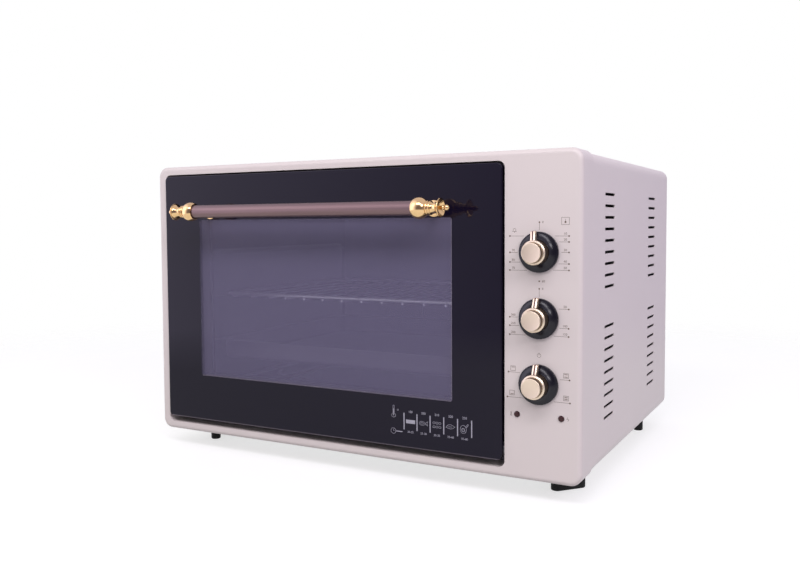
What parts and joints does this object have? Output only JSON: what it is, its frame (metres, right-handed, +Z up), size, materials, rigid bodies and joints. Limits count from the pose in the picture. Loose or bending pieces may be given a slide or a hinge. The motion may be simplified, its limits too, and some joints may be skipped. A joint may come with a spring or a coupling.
{
  "type": "mini oven",
  "caption": "Countertop mini oven with a drop-down glass door, bar handle, rotary knobs, side vents, wire rack and tray.",
  "frame": {"origin": "middle of the overall footprint, on the plane that the feet stand on", "axes": "+X to the right seen from the front, +Y towards the back, +Z up"},
  "size_m": [0.54, 0.466, 0.351],
  "materials": {
    "cream_paint": "satin cream paint",
    "rear_steel": "zinc-coated sheet",
    "printed_glass": "glossy, printed black with a tinted window",
    "clear_glass": "clear",
    "door_steel": "dark heatproof paint",
    "bronze_tube": "bronze finish with fine lengthwise streaks",
    "brass": "polished",
    "black_knob": "glossy",
    "gold_cap": "champagne anodised, brushed face",
    "steel_parts": "zinc plated",
    "cavity_enamel": "dark enamel",
    "rail_steel": "satin",
    "rack_wire": "chromed wire",
    "heater_sheath": "dark oxidised sheath",
    "ceramic": "unglazed",
    "lamp_red": "dark red lens",
    "black_plastic": "moulded",
    "foot_rubber": "matte"
  },
  "bodies": {
    "oven": {"front_panel": "cream_paint", "cabinet_shell": "cream_paint", "back_panel": "rear_steel", "bottom_panel": "rear_steel", "heat_shield": "rear_steel", "control_bracket": "rear_steel", "hinge_bracket_left": "steel_parts", "hinge_bracket_right": "steel_parts", "hinge_pin_left": "steel_parts", "hinge_pin_right": "steel_parts", "bushing_nuts": "steel_parts", "bracket_screws": "steel_parts", "back_screws": "steel_parts", "foot_screws": "steel_parts", "thermostat_sensor": "steel_parts", "lower_heater_clip": "steel_parts", "upper_heater_clip": "steel_parts", "cavity_liner": "cavity_enamel", "side_rail_left": "rail_steel", "side_rail_right": "rail_steel", "lower_heater": "heater_sheath", "upper_heater": "heater_sheath", "heater_beads": "ceramic", "lamp_lens_left": "lamp_red", "lamp_lens_right": "lamp_red", "timer_body": "black_plastic", "thermostat_body": "black_plastic", "selector_body": "black_plastic", "lamp_holder_left": "black_plastic", "lamp_holder_right": "black_plastic", "terminal_block": "black_plastic", "cable_gland": "black_plastic", "foot_front_left": "foot_rubber", "foot_front_right": "foot_rubber", "foot_rear_left": "foot_rubber", "foot_rear_right": "foot_rubber"},
    "door": {"door_outer_glass": "printed_glass", "door_frame": "door_steel", "window_surround": "door_steel", "door_inner_glass": "clear_glass", "handle_tube": "bronze_tube", "handle_end_left": "brass", "handle_end_right": "brass", "handle_screws": "steel_parts", "stay_arm_left": "steel_parts", "stay_arm_right": "steel_parts"},
    "rack": {"wire_rack": "rack_wire"},
    "tray": {"baking_tray": "cavity_enamel"},
    "timer_knob": {"timer_knob_skirt": "black_knob", "timer_knob_cap": "gold_cap", "timer_shaft": "steel_parts"},
    "thermostat_knob": {"thermostat_knob_skirt": "black_knob", "thermostat_knob_cap": "gold_cap", "thermostat_shaft": "steel_parts"},
    "selector_knob": {"selector_knob_skirt": "black_knob", "selector_knob_cap": "gold_cap", "selector_shaft": "steel_parts"}
  },
  "joints": [
    {"name": "door_hinge", "type": "hinge", "parent": "oven", "child": "door", "pos_m": [0, -0.174, 0.049], "axis": [1, 0, 0], "range_deg": [0, 85], "stiffness_Nm_per_rad": 1.2, "springref_deg": -22.92},
    {"name": "timer_turn", "type": "hinge", "parent": "oven", "child": "timer_knob", "pos_m": [0.2273, -0.183, 0.2504], "axis": [0, 1, 0], "range_deg": [-20, 290]},
    {"name": "thermostat_turn", "type": "hinge", "parent": "oven", "child": "thermostat_knob", "pos_m": [0.2273, -0.183, 0.1853], "axis": [0, 1, 0], "range_deg": [0, 270]},
    {"name": "selector_turn", "type": "hinge", "parent": "oven", "child": "selector_knob", "pos_m": [0.2273, -0.183, 0.1202], "axis": [0, 1, 0], "range_deg": [-115, 120]},
    {"name": "rack_slide", "type": "slide", "parent": "oven", "child": "rack", "axis": [0, -1, 0], "range_m": [0, 0.045]},
    {"name": "tray_slide", "type": "slide", "parent": "oven", "child": "tray", "axis": [0, -1, 0], "range_m": [0, 0.02]}
  ]
}
